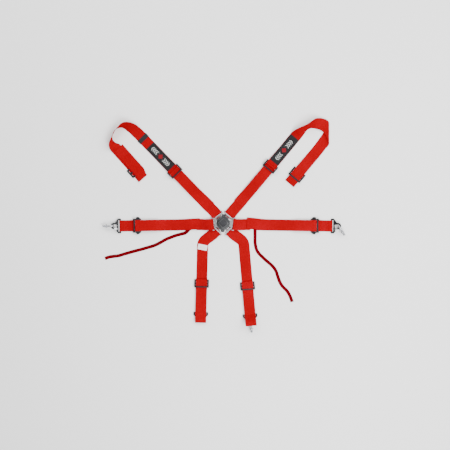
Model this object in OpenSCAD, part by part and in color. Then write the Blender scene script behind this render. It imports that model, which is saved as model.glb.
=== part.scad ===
// Six-point racing harness, laid out flat: a round cam-lock buckle, two shoulder belts,
// two lap belts with pull tapes and two crotch belts, all in one width of webbing.
// The origin is the middle of the buckle's back. +X is to the right, +Y runs towards
// the shoulder belts and +Z points away from the wearer.

/* [Webbing] */
// Width of every belt
web_w = 50; // [46:1:50]
// Thickness of the webbing
web_t = 1.4; // [1:0.1:1.4]
// Width of the pull tapes
tape_w = 16; // [12:1:18]
// Thickness of the pull tapes
tape_t = 1.6; // [1:0.1:1.6]

/* [Buckle] */
// Radius of the buckle's housing
buckle_r = 29; // [29:0.5:30]
// Height of the base, up to the cover
base_h = 14.4; // [14.4:0.1:14.6]
// Height of the cover's top face above the wearer's side
cover_top = 21; // [20.8:0.1:21.2]
// Height of the release knob's crown
knob_top = 31; // [29:0.5:33]
// Radius of the spindle
spindle_r = 5; // [4.5:0.1:5.5]

/* [Hardware] */
// Thickness of the stamped plates
plate_t = 3; // [2.5:0.1:3]
// Radius of the adjusters' knurled bars
bar_r = 3.5; // [3:0.1:3.5]
// Radius of the snap hooks' webbing bars
hook_bar_r = 2.2; // [2:0.1:2.2]
// Radius of the snap hooks' throats
throat_r = 6; // [5.5:0.1:6]
// Radius of the eyebolts' threaded shanks
shank_r = 5.55; // [5:0.05:6]
// Radius of the eyebolts' ring, to the middle of its rod
ring_r = 13.5; // [13:0.1:14]
// Radius of the rod that the eyebolts' rings are made of
rod_r = 4; // [3.5:0.1:4]

/* [Layout] */
// Distance from the left shoulder tongue's bar to its adjuster
shoulder_reach_left = 274; // [270:1:278]
// Distance from the right shoulder tongue's bar to its adjuster
shoulder_reach_right = 286; // [282:1:290]
// Distance from the left lap tongue's bar to its adjuster
lap_reach_left = 340; // [335:1:345]
// Distance from the right lap tongue's bar to its adjuster
lap_reach_right = 364; // [360:1:370]

/* [Hidden] */
$fn = 48;

LEFT = 0;
RIGHT = 1;
RED = [0.75, 0.02, 0.05];
MAROON = [0.38, 0.03, 0.07];
BLACK = [0.09, 0.09, 0.1];
STEEL = [0.72, 0.73, 0.74];

// Headings are in the right-hand side's frame; the left side is its mirror image.
pivot_r = 48;                       // from the buckle's axis to the tongues' webbing bars
shoulder_heading = [52, 52];        // of the tongues
shoulder_lay = [46, 50];            // of the belts beyond them
lap_heading = -6;
lap_lay = -1;
crotch_heading = -47;
crotch_lay = -40;
crotch_fall = [-88.5, -85];         // of the belts after their bend
bend_start = 62;                    // along the first run
bend_r = 36;
slide_at = [169, 183];              // from the bend to the crotch slides
crotch_reach = [301, 313];          // from the bend to the crotch hooks' bars
shoulder_reach = [shoulder_reach_left, shoulder_reach_right];
tail_end = [45, 62];                // from the tongues' bars to the shoulder tails' ends
shoulder_aside = [3, 3];            // how far the tails' free ends lie to one side
lap_aside = [3, 7];
patch_span = [[292, 432], [307, 455]];
band_at = 476;
lap_reach = [lap_reach_left, lap_reach_right];
lap_hook_at = [415, 439];
end_point = [[361, 201], [297.5, 178]];
end_heading = [-131.8, -130.1];     // of the shoulder belts' doubled ends
end_slide_at = 52;                  // from the doubled end's turn

blade_z = 12.5;                     // mid height of the tongues in the buckle
low_z = 4.5;                        // mid height of the dropped tongues' bars
gap = 0.4;                          // air between sliding and stacked pieces
loop_r = 3.1;                       // of the webbing's middle where it turns a flat bar
bar_half = 2.75;                    // half the width of a flat bar
hang_z = 3.9;                       // mid height of the bars near the floor
floor_z = web_t / 2 + 0.1;          // middle of webbing that lies on the floor
rail_in = 26;                       // from the belt's middle to a frame's side rail
rail_out = 31.5;
knurl_z = 14.4;                     // of the shoulder adjusters' knurled bars
lap_knurl_z = 7.6;
journal_r = 3;
run_fit = 0.05;                     // radial clearance of what turns
pass_z = 8.9;                       // of the shoulder strap in its adjuster
lap_pass_z = 14.3;                  // of the lap tail over its adjuster
hook_tilt = [25.3, 25.3];           // of the lap hooks, up from the floor
crotch_tilt = [-1.5, 25.3];
throat_at = 32;                     // from a hook's bar to its throat
hook_seat_at = 29;                  // from a hook's bar to its round end's middle
hook_end_r = 15;
gate_pivot = [12.5, -12.5];
gate_len = 15.5;
eyebolt_turn = [0, -55, 0];         // of the left lap, right lap and right crotch bolts

// Routes are rows of [x, y, height, heading, roll, skew]; the left one is mirrored.
// Skew slants a row's width, so that a turned-over strap creases along the slant.
loop_left = [
    [377, 397.5, 0, 46, 0, 0], [392, 411, 0, 43, 8, 0], [409, 425, 0, 36, 26, 0],
    [430, 434, 0, 18, 45, 0], [447, 436, 0, -5, 66, 0], [463, 431, 0, -28, 88, 0],
    [482, 418, 0, -42, 102, 0], [493, 400, 0, -60, 103, 0], [498, 378, 0, -84, 92, 0],
    [496, 361, 0, -101, 66, 0], [490, 347, 0, -120, 28, 0], [481, 335, 0, -131.8, 0, 0]];
loop_right = [
    [321.5, 387, 0, 50, 0, 0], [331, 397, 0, 49, 14, 0], [342, 406, 0, 46, 34, 0],
    [359, 419, 0, 38, 55, 0], [377, 431, 1, 28, 67, 0], [398, 441, 3, 13, 55, 0],
    [419, 446, 5, -4, 25, -0.1], [441, 443, 6.5, -26, 6, -0.5],
    [459, 430, 7, -46, 0, -1.1], [471.5, 412, 7, -58, 0, -1.6]];
fold_at = [471.5, 412];
fold_r = 3.5;
fold_pitch = 1.6;
loop_right_back = [
    [471.5, 394.4, 0, -122, 180, -1.6], [461, 378.5, 0, -124, 180, -1.2],
    [450, 363.5, 0, -126, 180, -0.7], [439.5, 349, 0, -127, 180, -0.3],
    [428.5, 334, 0, -128, 180, 0]];
tape_left = [
    [-140, -12, 2.8], [-150, -22, 2.8], [-160, -34, 2.7], [-172, -44, 2],
    [-190, -49, 1.2], [-212, -55, 1], [-234, -63, 1], [-256, -72, 1], [-274, -82, 1],
    [-292, -92, 1], [-315, -102, 1], [-339, -109, 1], [-370, -118, 1],
    [-397, -125, 1], [-422, -132, 1], [-447, -139, 1], [-470, -146, 1],
    [-492, -149, 1], [-508, -151, 1], [-522, -155, 1], [-532, -159, 1]];
tape_right = [
    [140, -12, 2.8], [142, -24, 2.8], [143, -36, 2.6], [143, -48, 1.6],
    [143, -60, 1], [143, -84, 1], [146, -105, 1], [152, -124, 1], [162, -138, 1],
    [174, -150, 1], [192, -167, 1], [212, -184, 1], [226, -198, 1], [237, -215, 1],
    [243, -232, 1], [248, -248, 1], [254, -263, 1], [262, -278, 1], [273, -291, 1],
    [286, -304, 1], [297, -321, 1], [304, -337, 1], [310, -354, 1]];

// ---- points and paths ----

function heading(a) = [cos(a), sin(a)];
function unit(v) = v / norm(v);
function ease(x) = x <= 0 ? 0 : x >= 1 ? 1 : x * x * (3 - 2 * x);
function arc(c, r, from, to, n = 8) =
    [for (i = [0:n]) let(a = from + (to - from) * i / n) [c[0] + r * cos(a), c[1] + r * sin(a)]];
function between(p, q, r, s, t) = 0.5 * (2 * q + (r - p) * t
    + (2 * p - 5 * q + 4 * r - s) * t * t + (3 * q - p - 3 * r + s) * t * t * t);
function smooth(p, n) = let(m = len(p) - 1) concat(
    [for (i = [0:m - 1], j = [0:n - 1])
        between(p[max(i - 1, 0)], p[i], p[i + 1], p[min(i + 2, m)], j / n)],
    [p[m]]);
function tangent(p, i) = unit(p[min(i + 1, len(p) - 1)] - p[max(i - 1, 0)]);

// A side view's path, drawn as points of [distance, height], lifted onto a belt that
// leaves its tongue at one heading and lies at another. Each station is a centre
// and the direction of the webbing's width.
function station(x, y, z, a, roll, skew = 0) = [[x, y, z],
    [-sin(a) * cos(roll) + skew * cos(a), cos(a) * cos(roll) + skew * sin(a), sin(roll)]];
function lifted(path, start, from, to, aside = 0) = [for (p = path) let(
    s = ease((p[0] - 6) / 50),
    q = start + p[0] * ((1 - s) * heading(from) + s * heading(to))
        + aside * (1 - ease((p[0] - 60) / 90)) * heading(to + 90))
    station(q[0], q[1], p[1], from + (to - from) * s, 0)];
function routed(rows) = [for (r = rows)
    station(r[0], r[1], floor_z + 0.2 + r[2] + web_w / 2 * abs(sin(r[4])), r[3], r[4], r[5])];
function upright_width(p, i) = let(t = tangent(p, i)) unit(cross([0, 0, 1], t));

// A closed solid of one section, swept along stations. Its two faces are split along the
// same diagonals, so a thin twisted belt keeps its thickness.
module sweep(stations, section) {
    n = len(stations);
    m = len(section);
    centres = [for (s = stations) s[0]];
    points = [for (i = [0:n - 1]) let(
        across = stations[i][1],
        up = unit(cross(tangent(centres, i), across)))
        for (c = section) centres[i] + across * c[0] + up * c[1]];
    sides = [for (i = [0:n - 2], k = [0:m - 1]) let(
        a = i * m + k,
        b = i * m + (k + 1) % m)
        each k < m / 2 ? [[a, a + m, b + m], [a, b + m, b]] : [[a, a + m, b], [a + m, b + m, b]]];
    first = [for (k = [1:m - 2]) [0, k, k + 1]];
    last = [for (k = [1:m - 2]) [(n - 1) * m, (n - 1) * m + k + 1, (n - 1) * m + k]];
    polyhedron(points, concat(sides, first, last), convexity = 6);
}

web_section = [
    [web_w / 2, web_t / 2], [-web_w / 2, web_t / 2],
    [-web_w / 2, -web_t / 2], [web_w / 2, -web_t / 2]];
tape_section = [
    [tape_w / 2, tape_t / 5], [tape_w / 2 - 0.8, tape_t / 2],
    [0.8 - tape_w / 2, tape_t / 2], [-tape_w / 2, tape_t / 5],
    [-tape_w / 2, -tape_t / 5], [0.8 - tape_w / 2, -tape_t / 2],
    [tape_w / 2 - 0.8, -tape_t / 2], [tape_w / 2, -tape_t / 5]];

// Straight webbing: a side view's path given a thickness and drawn out to a width
module flat_web(path, width = web_w, thick = web_t) {
    n = len(path);
    side = [for (i = [0:n - 1]) let(t = tangent(path, i)) [-t[1], t[0]] * thick / 2];
    outline = concat(
        [for (i = [0:n - 1]) path[i] + side[i]],
        [for (i = [n - 1:-1:0]) path[i] - side[i]]);
    rotate([90, 0, 0]) linear_extrude(width, center = true) polygon(outline);
}

// A box from one corner to the other
module block(low, high) {
    translate(low) cube(high - low);
}

// A pair of the same thing on both sides of a belt's middle
module both() {
    children();
    mirror([0, 1, 0]) children();
}

// A cylinder across a belt
module across_rod(u, z, r, length) {
    translate([u, 0, z]) rotate([90, 0, 0]) cylinder(r = r, h = length, center = true);
}

module on_side(i) {
    mirror([1 - i, 0, 0]) children();
}

module belt(start, lay) {
    translate([start[0], start[1], 0]) rotate(lay) children();
}

shoulder_start = [for (a = shoulder_heading) pivot_r * heading(a)];
lap_start = pivot_r * heading(lap_heading);
crotch_start = pivot_r * heading(crotch_heading);
bend_from = crotch_start + bend_start * heading(crotch_lay);
bend_centre = bend_from + bend_r * heading(crotch_lay - 90);
bend_to = [for (a = crotch_fall) bend_centre + bend_r * heading(a + 90)];

module shoulder_belt(i) on_side(i) belt(shoulder_start[i], shoulder_lay[i]) children();
module shoulder_end(i) on_side(i) belt(end_point[i], end_heading[i] + 180) children();
module lap_belt(i) on_side(i) belt(lap_start, lap_lay) children();
module crotch_belt(i) on_side(i) belt(bend_to[i], crotch_fall[i]) children();

// ---- buckle ----

tongue_angles = [52, 128, lap_heading, 180 - lap_heading, crotch_heading, 180 - crotch_heading];
latched = [52, 128, 180 - lap_heading, crotch_heading, 180 - crotch_heading];
screw_angles = [90, 270, 23, 157];
screw_ring = 24.5;
lip_at = 23.8;

module buckle_base() {
    color(BLACK) difference() {
        union() {
            difference() {
                rotate_extrude($fn = 96) polygon([
                    [0, 0], [buckle_r - 2, 0], [buckle_r, 2],
                    [buckle_r, base_h], [0, base_h]]);
                for (a = tongue_angles)
                    rotate(a) block([15, -7.3, blade_z - 1.8], [buckle_r + 1, 7.3, base_h + 1]);
            }
            // the rivet that holds the right lap belt for good
            rotate(lap_heading) translate([lip_at, 0, 9]) cylinder(r = 2.5, h = base_h - 9);
        }
        // pocket for the return spring, with the spindle below it
        translate([0, 0, 4]) cylinder(r = 12.5, h = base_h);
        translate([0, 0, 0.6]) cylinder(r = spindle_r + run_fit, h = 8);
        translate([0, 0, 0.6]) cylinder(r = 8.3, h = 1.9);
        for (a = screw_angles) rotate(a) translate([screw_ring, 0, -1]) {
            cylinder(r = 2.1, h = base_h + 2);
            cylinder(r = 3.7, h = 3.6);
        }
    }
}

module buckle_cover() {
    color(BLACK) difference() {
        rotate_extrude($fn = 96) polygon([
            [0, base_h + 0.02], [buckle_r, base_h + 0.02], [buckle_r, cover_top - 3],
            [buckle_r - 0.9, cover_top - 0.9], [buckle_r - 3, cover_top], [0, cover_top]]);
        translate([0, 0, base_h - 1]) cylinder(r = 20.5, h = 5.2);
        for (a = latched) rotate(a) block([15, -4, base_h - 1], [27.2, 4, base_h + 4.2]);
        translate([0, 0, base_h]) cylinder(r = spindle_r + run_fit, h = 10);
        for (a = screw_angles) rotate(a) translate([screw_ring, 0, base_h - 1])
            cylinder(r = 2.05, h = 4.6);
    }
}

module cover_screws() {
    color(STEEL) for (a = screw_angles) rotate(a) translate([screw_ring, 0, 0]) {
        translate([0, 0, 0.4]) difference() {
            cylinder(r = 3.5, h = 2.1);
            translate([0, 0, -0.1]) cylinder(r = 1.6, h = 1.2, $fn = 6);
        }
        translate([0, 0, 2.4]) cylinder(r = 2, h = 14.6);
    }
}

module latch_spider() {
    color(STEEL) {
        difference() {
            union() {
                translate([0, 0, 15.1]) cylinder(r = 11, h = 0.8);
                for (a = latched) rotate(a) {
                    block([8, -3, 15.1], [lip_at + 2, 3, 15.9]);
                    block([lip_at - 2, -2.4, 11.3], [lip_at + 2, 2.4, 15.6]);
                }
            }
            translate([0, 0, 14]) cylinder(r = 7, h = 3);
        }
    }
}

module knob_spring() {
    wire = 0.8;
    turns = 3;
    steps = 16;
    rows = [for (i = [0:turns * steps]) let(a = 360 * i / steps)
        [9 * cos(a), 9 * sin(a), 5.2 + 8.4 * i / (turns * steps)]];
    stations = [for (p = rows) [p, [p[0], p[1], 0] / 9]];
    ring = [for (k = [0:7]) [wire * cos(45 * k), wire * sin(45 * k)]];
    color(STEEL) sweep(stations, ring);
}

module spindle() {
    color(STEEL) {
        translate([0, 0, 0.8]) cylinder(r = 8, h = 1.5);
        translate([0, 0, 2]) cylinder(r = spindle_r, h = 25.9);
    }
}

module cam_plate() {
    color(STEEL) difference() {
        union() {
            translate([0, 0, 16.5]) cylinder(r = 19, h = 1.4);
            for (a = latched) rotate(a + 21) translate([14.5, 0, 16.2]) cylinder(r = 2.2, h = 0.6);
        }
        translate([0, 0, 16]) cylinder(r = spindle_r + 0.02, h = 3);
        for (a = [0:72:288]) rotate(a + 36) translate([12, 0, 16]) cylinder(r = 3, h = 3);
    }
}

knob_outline = [
    [7.5, 40], [8.5, 31], [16.5, 26], [28, 11.5], [29.5, 5], [29.5, -5], [28, -11.5],
    [16.5, -26], [8.5, -31], [7.5, -40], [-7.5, -40], [-8.5, -31], [-16.5, -26], [-28, -11.5],
    [-29.5, -5], [-29.5, 5], [-28, 11.5], [-16.5, 26], [-8.5, 31], [-7.5, 40]];
knob_turn = -4;
knob_low = cover_top + 0.4;
badge_sink = 1;

module release_knob() {
    color([0.13, 0.13, 0.14]) rotate(knob_turn) difference() {
        intersection() {
            translate([0, 0, knob_low]) linear_extrude(knob_top - knob_low)
                polygon(knob_outline);
            rotate_extrude($fn = 96) polygon([
                [0, knob_low], [40.5, knob_low], [41, knob_low + 3], [39, knob_low + 5],
                [30, knob_low + 7.6], [22, knob_top - 0.6], [16, knob_top], [0, knob_top]]);
        }
        translate([0, 0, knob_low - 1]) cylinder(r = spindle_r + 0.02, h = 7.5);
        // recess of the badge
        translate([0, 0, knob_top - badge_sink]) rotate(45)
            block([-11.1, -11.1, 0], [11.1, 11.1, 3]);
    }
}

module knob_badge() {
    color([0.3, 0.3, 0.32]) translate([0, 0, knob_top - badge_sink]) rotate(45 + knob_turn) {
        block([-11, -11, 0], [11, 11, 1.1]);
        block([-7.5, -7.5, 1], [7.5, 7.5, 1.6]);
    }
}

// ---- tongues: a blade that bends down to a webbing bar ----

module tongue(a, drop, mouth_r = 0, neck = 7, flare = 32) {
    side = [
        [17, blade_z - 1.5], [30.6, blade_z - 1.5], [37, blade_z - drop - 1.5],
        [51, blade_z - drop - 1.5], [51, blade_z - drop + 1.5], [37.6, blade_z - drop + 1.5],
        [31.2, blade_z + 1.5], [17, blade_z + 1.5]];
    plan = [
        [18, -4.5], [21.5, -neck], [flare, -neck], [41, -28], [43, -28.8], [49, -28.8],
        [50.7, -27.5], [50.7, 27.5], [49, 28.8], [43, 28.8], [41, 28],
        [flare, neck], [21.5, neck], [18, 4.5]];
    color(STEEL) rotate(a) difference() {
        intersection() {
            rotate([90, 0, 0]) linear_extrude(60, center = true) polygon(side);
            linear_extrude(20) polygon(plan);
        }
        block([pivot_r - bar_half - 5, -25.8, -1], [pivot_r - bar_half, 25.8, 20]);
        if (mouth_r > 0)
            translate([lip_at, 0, 5]) cylinder(r = mouth_r, h = 12);
        else
            block([lip_at - 2.6, -3, 5], [lip_at + 2.6, 3, 17]);
    }
}

module tongue_shoulder(i) on_side(i) tongue(shoulder_heading[i], blade_z - low_z);
module tongue_lap(i) on_side(i) tongue(lap_heading, 0, i == RIGHT ? 2.55 : 0);
module tongue_crotch(i) on_side(i) tongue(crotch_heading, blade_z - low_z,
    neck = 5.5, flare = 33.5);

// ---- shoulder belts ----

// Webbing that comes in below a tongue's bar, turns round it and leaves on top
function low_loop(under) = concat(
    [[under, floor_z], [20, 0.9], [8, 1.2], [2, low_z - loop_r]],
    arc([-1, low_z], loop_r, 270, 90),
    [[2, low_z + loop_r], [8, 7.2], [14, 6], [20, 4.6], [26, 3.4], [32, 2.7], [40, 2.4]]);

module shoulder_lower(i) {
    reach = shoulder_reach[i];
    path = concat(
        low_loop(60),
        [[50, 2.4], [62, 2.4], [70, 1.9], [85, 1.4], [110, 1.6], [150, 2], [175, 1.5]],
        [[reach - 82, floor_z], [reach - 40, floor_z], [reach - 13, floor_z]],
        arc([reach - 10, hang_z], loop_r, -90, 90),
        [[reach - 14, 7], [reach - 20, 6.7], [reach - 28, 5.6], [reach - 36, 3.7],
         [reach - 44, 2.5], [reach - 75, 2.4]]);
    color(RED) on_side(i)
        sweep(lifted(path, shoulder_start[i], shoulder_heading[i], shoulder_lay[i]), web_section);
}

module shoulder_adjuster(i) {
    cheek = [
        [-21, 0.2], [16, 0.2], [16, 6], [13, 12], [8, 18], [-8, 18], [-13, 15], [-21, 13.6]];
    color(BLACK) shoulder_belt(i) translate([shoulder_reach[i], 0, 0]) {
        difference() {
            both() translate([0, rail_out, 0]) rotate([90, 0, 0])
                linear_extrude(rail_out - rail_in) polygon(cheek);
            across_rod(0, knurl_z, journal_r + run_fit, 80);
        }
        block([-14, -rail_in - 1, 2.4], [-8.5, rail_in + 1, 5.4]);
        block([-21, -rail_in - 1, 10.6], [-15, rail_in + 1, 13.6]);
        block([10.5, -rail_in - 1, 2.4], [16, rail_in + 1, 5.4]);
    }
}

module knurled_bar(z) {
    across_rod(0, z, bar_r, 2 * rail_in - 0.6);
    across_rod(0, z, journal_r, 2 * rail_out);
}

module shoulder_bar(i) {
    color(STEEL) shoulder_belt(i) translate([shoulder_reach[i], 0, 0]) knurled_bar(knurl_z);
}

module shoulder_turn(i) {
    half = [[13, 10.7], [9.5, 10.8], [7, 11.9], [5.4, 13.6]];
    over = arc([0, knurl_z], bar_r + web_t / 2 + gap, 10, 170, 10);
    path = concat(half, over, [for (k = [3:-1:0]) [-half[k][0], half[k][1]]]);
    color(RED) shoulder_belt(i) translate([shoulder_reach[i], 0, 0]) flat_web(path);
}

// Heights of the upper strap from its tail's end to where its loop begins
function upper_run(i) = let(r = shoulder_reach[i]) [
    [tail_end[i], 4], [80, 4], [108, 4], [118, 5.2], [130, 7.7], [142, pass_z],
    [170, pass_z], [r - 20, pass_z], [r + 18, pass_z], [r + 30, 8], [r + 48, 5.5],
    [r + 66, 2.8], [r + 84, 1.2], [r + 100, floor_z + 0.2]];

// The doubled end: the strap lies below, turns at the end and comes back on top
end_low = floor_z;
end_high = 6;
end_len = [176, 180];
function end_path(i) = let(r = (end_high - end_low) / 2) concat(
    [[170, end_low], [90, end_low], [4, end_low]],
    arc([3, end_low + r], r, 270, 90),
    [[6, end_high], [95, end_high], [108, 5.2], [120, 3.6], [132, 2.5], [end_len[i], 2.4]]);
function end_stations(i) = [for (p = end_path(i)) let(
    q = end_point[i] + p[0] * heading(end_heading[i] + 180),
    aside = i == LEFT && p[1] > end_low + 1 ? -ease((p[0] - 4) / 30) * 9 : 0,
    w = heading(end_heading[i] + 90))
    [[q[0] + w[0] * aside, q[1] + w[1] * aside, p[1]],
        [w[0], w[1], 0] * (i == LEFT ? 1 : -1)]];

// The right strap turns over here, round a line that runs along Y
function fold() = [for (a = [20:20:160]) [[
    fold_at[0] + fold_r * sin(a),
    fold_at[1] - fold_pitch * fold_r * a * PI / 180,
    floor_z + 0.2 + fold_r * (1 + cos(a))],
    [0, norm([1, fold_pitch]), 0]]];

module shoulder_upper(i) {
    start = lifted(upper_run(i), shoulder_start[i], shoulder_heading[i], shoulder_lay[i],
        shoulder_aside[i]);
    rows = i == LEFT ? routed(smooth(loop_left, 4)) : concat(
        routed(smooth(loop_right, 4)), fold(), routed(smooth(loop_right_back, 2)));
    color(RED) on_side(i) sweep(concat(start, rows, end_stations(i)), web_section);
}

// A cover that lies on the upper strap between two distances
function cover_run(i, from, to, lift) = let(
    p = [for (q = upper_run(i)) q],
    height = function(u) let(k = [for (j = [0:len(p) - 1]) if (p[j][0] <= u) j][
        len([for (j = [0:len(p) - 1]) if (p[j][0] <= u) j]) - 1])
        k >= len(p) - 1 ? floor_z + 0.2 : p[k][1]
            + (p[k + 1][1] - p[k][1]) * (u - p[k][0]) / (p[k + 1][0] - p[k][0]))
    concat([[from, height(from) + lift]],
        [for (q = p) if (q[0] > from && q[0] < to) [q[0], q[1] + lift]],
        [[to, height(to) + lift]]);

patch_t = 1.2;
patch_w = 47;
module shoulder_patch(i) {
    path = cover_run(i, patch_span[i][0], patch_span[i][1], web_t / 2 + patch_t / 2 + 0.1);
    color(BLACK) shoulder_belt(i) flat_web(path, patch_w, patch_t);
}

module shoulder_band_left() {
    color(BLACK) shoulder_belt(LEFT) difference() {
        block([band_at - 10, -web_w / 2 - 1.6, 0], [band_at + 10, web_w / 2 + 1.6, 3.4]);
        block([band_at - 11, -web_w / 2 - 0.3, -1], [band_at + 11, web_w / 2 + 0.3, 1.9]);
    }
}

// ---- three-bar slides ----

// A flat slide, with one end bar raised over the webbing if asked for
module three_bar(length, bar, over) {
    wide = 33;
    slot = (length - 3 * bar) / 2;
    difference() {
        union() {
            block([-length / 2 + 2, -wide, 0], [length / 2 - 2, wide, plate_t]);
            block([-length / 2, -wide + 2, 0], [length / 2, wide - 2, plate_t]);
            for (u = [-1, 1], v = [-1, 1])
                translate([u * (length / 2 - 2), v * (wide - 2), 0])
                    cylinder(r = 2, h = plate_t, $fn = 24);
        }
        for (u = [-1, 1]) let(mid = u * (bar + slot) / 2)
            block([mid - slot / 2, -rail_in, -1], [mid + slot / 2, rail_in, plate_t + 1]);
    }
    if (over > 0) {
        both() block([length / 2 - bar, rail_in + 0.5, plate_t - 0.5],
            [length / 2, wide - 1, over + 2.2]);
        block([length / 2 - bar, -wide + 1, over], [length / 2, wide - 1, over + 2.2]);
    }
}

module shoulder_slide(i) {
    color(BLACK) shoulder_end(i) translate([end_slide_at, 0, end_low + web_t / 2 + gap])
        rotate(180) three_bar(45, 7, i == RIGHT ? 5.2 : 0);
}

module crotch_slide(i) {
    color(BLACK) crotch_belt(i) translate([slide_at[i], 0, 3.8])
        three_bar(36, 6, 5.6);
}

// ---- lap belts ----

module lap_strap(i) {
    reach = lap_reach[i];
    path = concat(
        [[62, 0.9], [56, 1.4], [48, 3], [36, 6.4], [28, 8.5], [20, 9.3], [10, blade_z - loop_r],
            [2, blade_z - loop_r]],
        arc([-1, blade_z], loop_r, 270, 90),
        [[2, blade_z + loop_r], [12, 15.2], [24, 12.6], [36, 8.8], [48, 5.3], [58, 3.3],
         [66, 2.4], [76, 1.4], [90, floor_z + 0.1], [reach / 2, floor_z + 0.1],
         [reach + 2, floor_z + 0.1]]);
    color(RED) on_side(i) sweep(lifted(path, lap_start, lap_heading, lap_lay), web_section);
}

module lap_tail(i) {
    reach = lap_reach[i];
    path = [
        [58, 5.4], [80, 4.8], [95, 4.6], [110, 4.4], [130, 4], [150, 3.6], [reach - 122, 3.6],
        [reach - 112, 4.8], [reach - 100, 8.4], [reach - 90, 12], [reach - 78, lap_pass_z],
        [reach + 7, lap_pass_z]];
    color(RED) on_side(i) sweep(lifted(path, lap_start, lap_lay, lap_lay, lap_aside[i]), web_section);
}

module lap_turn(i) {
    r = bar_r + web_t / 2 + 0.5;
    path = concat([[-24, lap_knurl_z - r]], arc([0, lap_knurl_z], r, -90, 90, 12),
        [[-24, lap_knurl_z + r]]);
    color(RED) lap_belt(i) translate([lap_reach[i], 0, 0]) flat_web(path);
}

module lap_adjuster(i) {
    cheek = [
        [-18, 0.2], [19, 0.2], [19, 6], [15, 17.8], [8, 17.8], [-10, 14], [-18, 9]];
    lug = [
        [-16, rail_out - 1], [-9, 38], [-3, 39.5], [3, 38], [5, rail_out - 1]];
    color(BLACK) lap_belt(i) translate([lap_reach[i], 0, 0]) {
        difference() {
            both() translate([0, rail_out, 0]) rotate([90, 0, 0])
                linear_extrude(rail_out - rail_in) polygon(cheek);
            across_rod(0, lap_knurl_z, journal_r + run_fit, 80);
        }
        both() translate([0, 0, 1.2]) linear_extrude(2.8) polygon(lug);
        block([12, -rail_in - 1, 2.4], [17.5, rail_in + 1, 5.4]);
        block([8.5, -rail_in - 1, 15.5], [14, rail_in + 1, 17.8]);
    }
}

module lap_bar(i) {
    color(STEEL) lap_belt(i) translate([lap_reach[i], 0, 0]) knurled_bar(lap_knurl_z);
}

module lap_anchor(i) {
    near = lap_reach[i] + 14.75;
    far = lap_hook_at[i];
    mid = (near + far) / 2;
    path = concat(
        [[mid + 4, floor_z], [far - 6, floor_z]],
        arc([far, hang_z], loop_r, -90, 90),
        [[far - 5, 7], [far - 12, 6], [far - 20, 3.6], [mid, 2.5], [near + 20, 3.6],
         [near + 12, 6], [near + 5, 7]],
        arc([near - 1, hang_z], loop_r, 90, 270),
        [[near + 6, floor_z], [mid - 4, floor_z]]);
    color(RED) lap_belt(i) flat_web(path);
}

module lap_tape(points) {
    fine = smooth(points, 2);
    color(MAROON) sweep([for (k = [0:len(fine) - 1]) [fine[k], upright_width(fine, k)]],
        tape_section);
}

// ---- crotch belts ----

module crotch_strap(i) {
    s = slide_at[i];
    far = crotch_reach[i];
    first = lifted(concat(low_loop(44), [[48, 2.3], [52, 1.5], [55, 0.9]]),
        crotch_start, crotch_heading, crotch_lay);
    turn = crotch_lay - crotch_fall[i];
    bend = [for (k = [0:8]) let(
        a = crotch_lay - turn * k / 8,
        q = bend_centre + bend_r * heading(a + 90))
        station(q[0], q[1], floor_z, a, 0)];
    // down to the hook, back on top, round the slide's first bar and down again
    down = concat(
        [[20, floor_z], [far - 6, floor_z]],
        arc([far, hang_z], loop_r, -90, 90),
        [[far - 3, 7], [far - 9, 6.4], [far - 18, 4], [far - 28, 2.6], [s - 14, 2.6]],
        arc([s - 17.4, 5.4], 2.8, 270, 90, 10),
        crotch_tail(i));
    last = [for (p = down) let(q = bend_to[i] + p[0] * heading(crotch_fall[i]))
        station(q[0], q[1], p[1], crotch_fall[i], 0)];
    color(RED) on_side(i) sweep(concat(first, bend, last), web_section);
}

// The free tail, which lies on top and over the hook
function crotch_tail(i) = let(s = slide_at[i], far = crotch_reach[i]) concat(
    [[s - 14, 8.2], [far - 26, 8.2], [far - 12, 8.8]],
    i == LEFT ? [[far, 10.2], [far + 14, 12], [far + 28, 12.6], [far + 44, 12.2]]
        : [[far - 2, 11.5], [far + 8, 19], [far + 18, 28], [far + 27, 35],
           [far + 36, 38.2], [far + 46, 37.6]]);

module crotch_label_left() {
    a = -79;
    c = bend_to[LEFT] + 6.5 * heading(crotch_fall[LEFT]);
    color("white") on_side(LEFT) translate([c[0], c[1], floor_z + web_t / 2 + 0.25])
        rotate(a) block([-12, -21, 0], [12, 21, 0.5]);
}

// ---- snap hooks, in a frame at the middle of their webbing bar ----

module hook_frame(u, tilt) {
    translate([u, 0, hang_z]) rotate([0, -tilt, 0]) children();
}

module at_hook(belt_name, i) {
    if (belt_name == "lap") lap_belt(i) hook_frame(lap_hook_at[i], hook_tilt[i]) children();
    else crotch_belt(i) hook_frame(crotch_reach[i], crotch_tilt[i]) children();
}

module snap_hook(belt_name, i) {
    low = -plate_t / 2;
    color(BLACK) at_hook(belt_name, i) {
        difference() {
            translate([0, 0, low]) linear_extrude(plate_t) {
                polygon([
                    [-1, 26], [-3, 28], [-3, 31], [-1, 33], [9, 33], [12, 31], [24, 16],
                    [24, -16], [12, -31], [9, -33], [-1, -33], [-3, -31], [-3, -28], [-1, -26],
                    [9, -26], [9, 26]]);
                translate([hook_seat_at, 0]) circle(r = hook_end_r, $fn = 72);
            }
            // the throat, and its mouth on one side
            translate([throat_at, 0, -9]) cylinder(r = throat_r, h = 18, $fn = 72);
            translate([20, 0, -9]) cylinder(r = throat_r, h = 18, $fn = 72);
            block([20, -throat_r, -9], [throat_at, throat_r, 9]);
            block([15.5, -20, -9], [25.5, 0, 9]);
        }
        across_rod(0, 0, hook_bar_r, 56);
        // rivet of the gate
        translate([gate_pivot[0], gate_pivot[1], 0]) {
            cylinder(r = 2, h = 4.1);
            translate([0, 0, 4]) cylinder(r = 3.4, h = 1);
        }
    }
}

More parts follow.
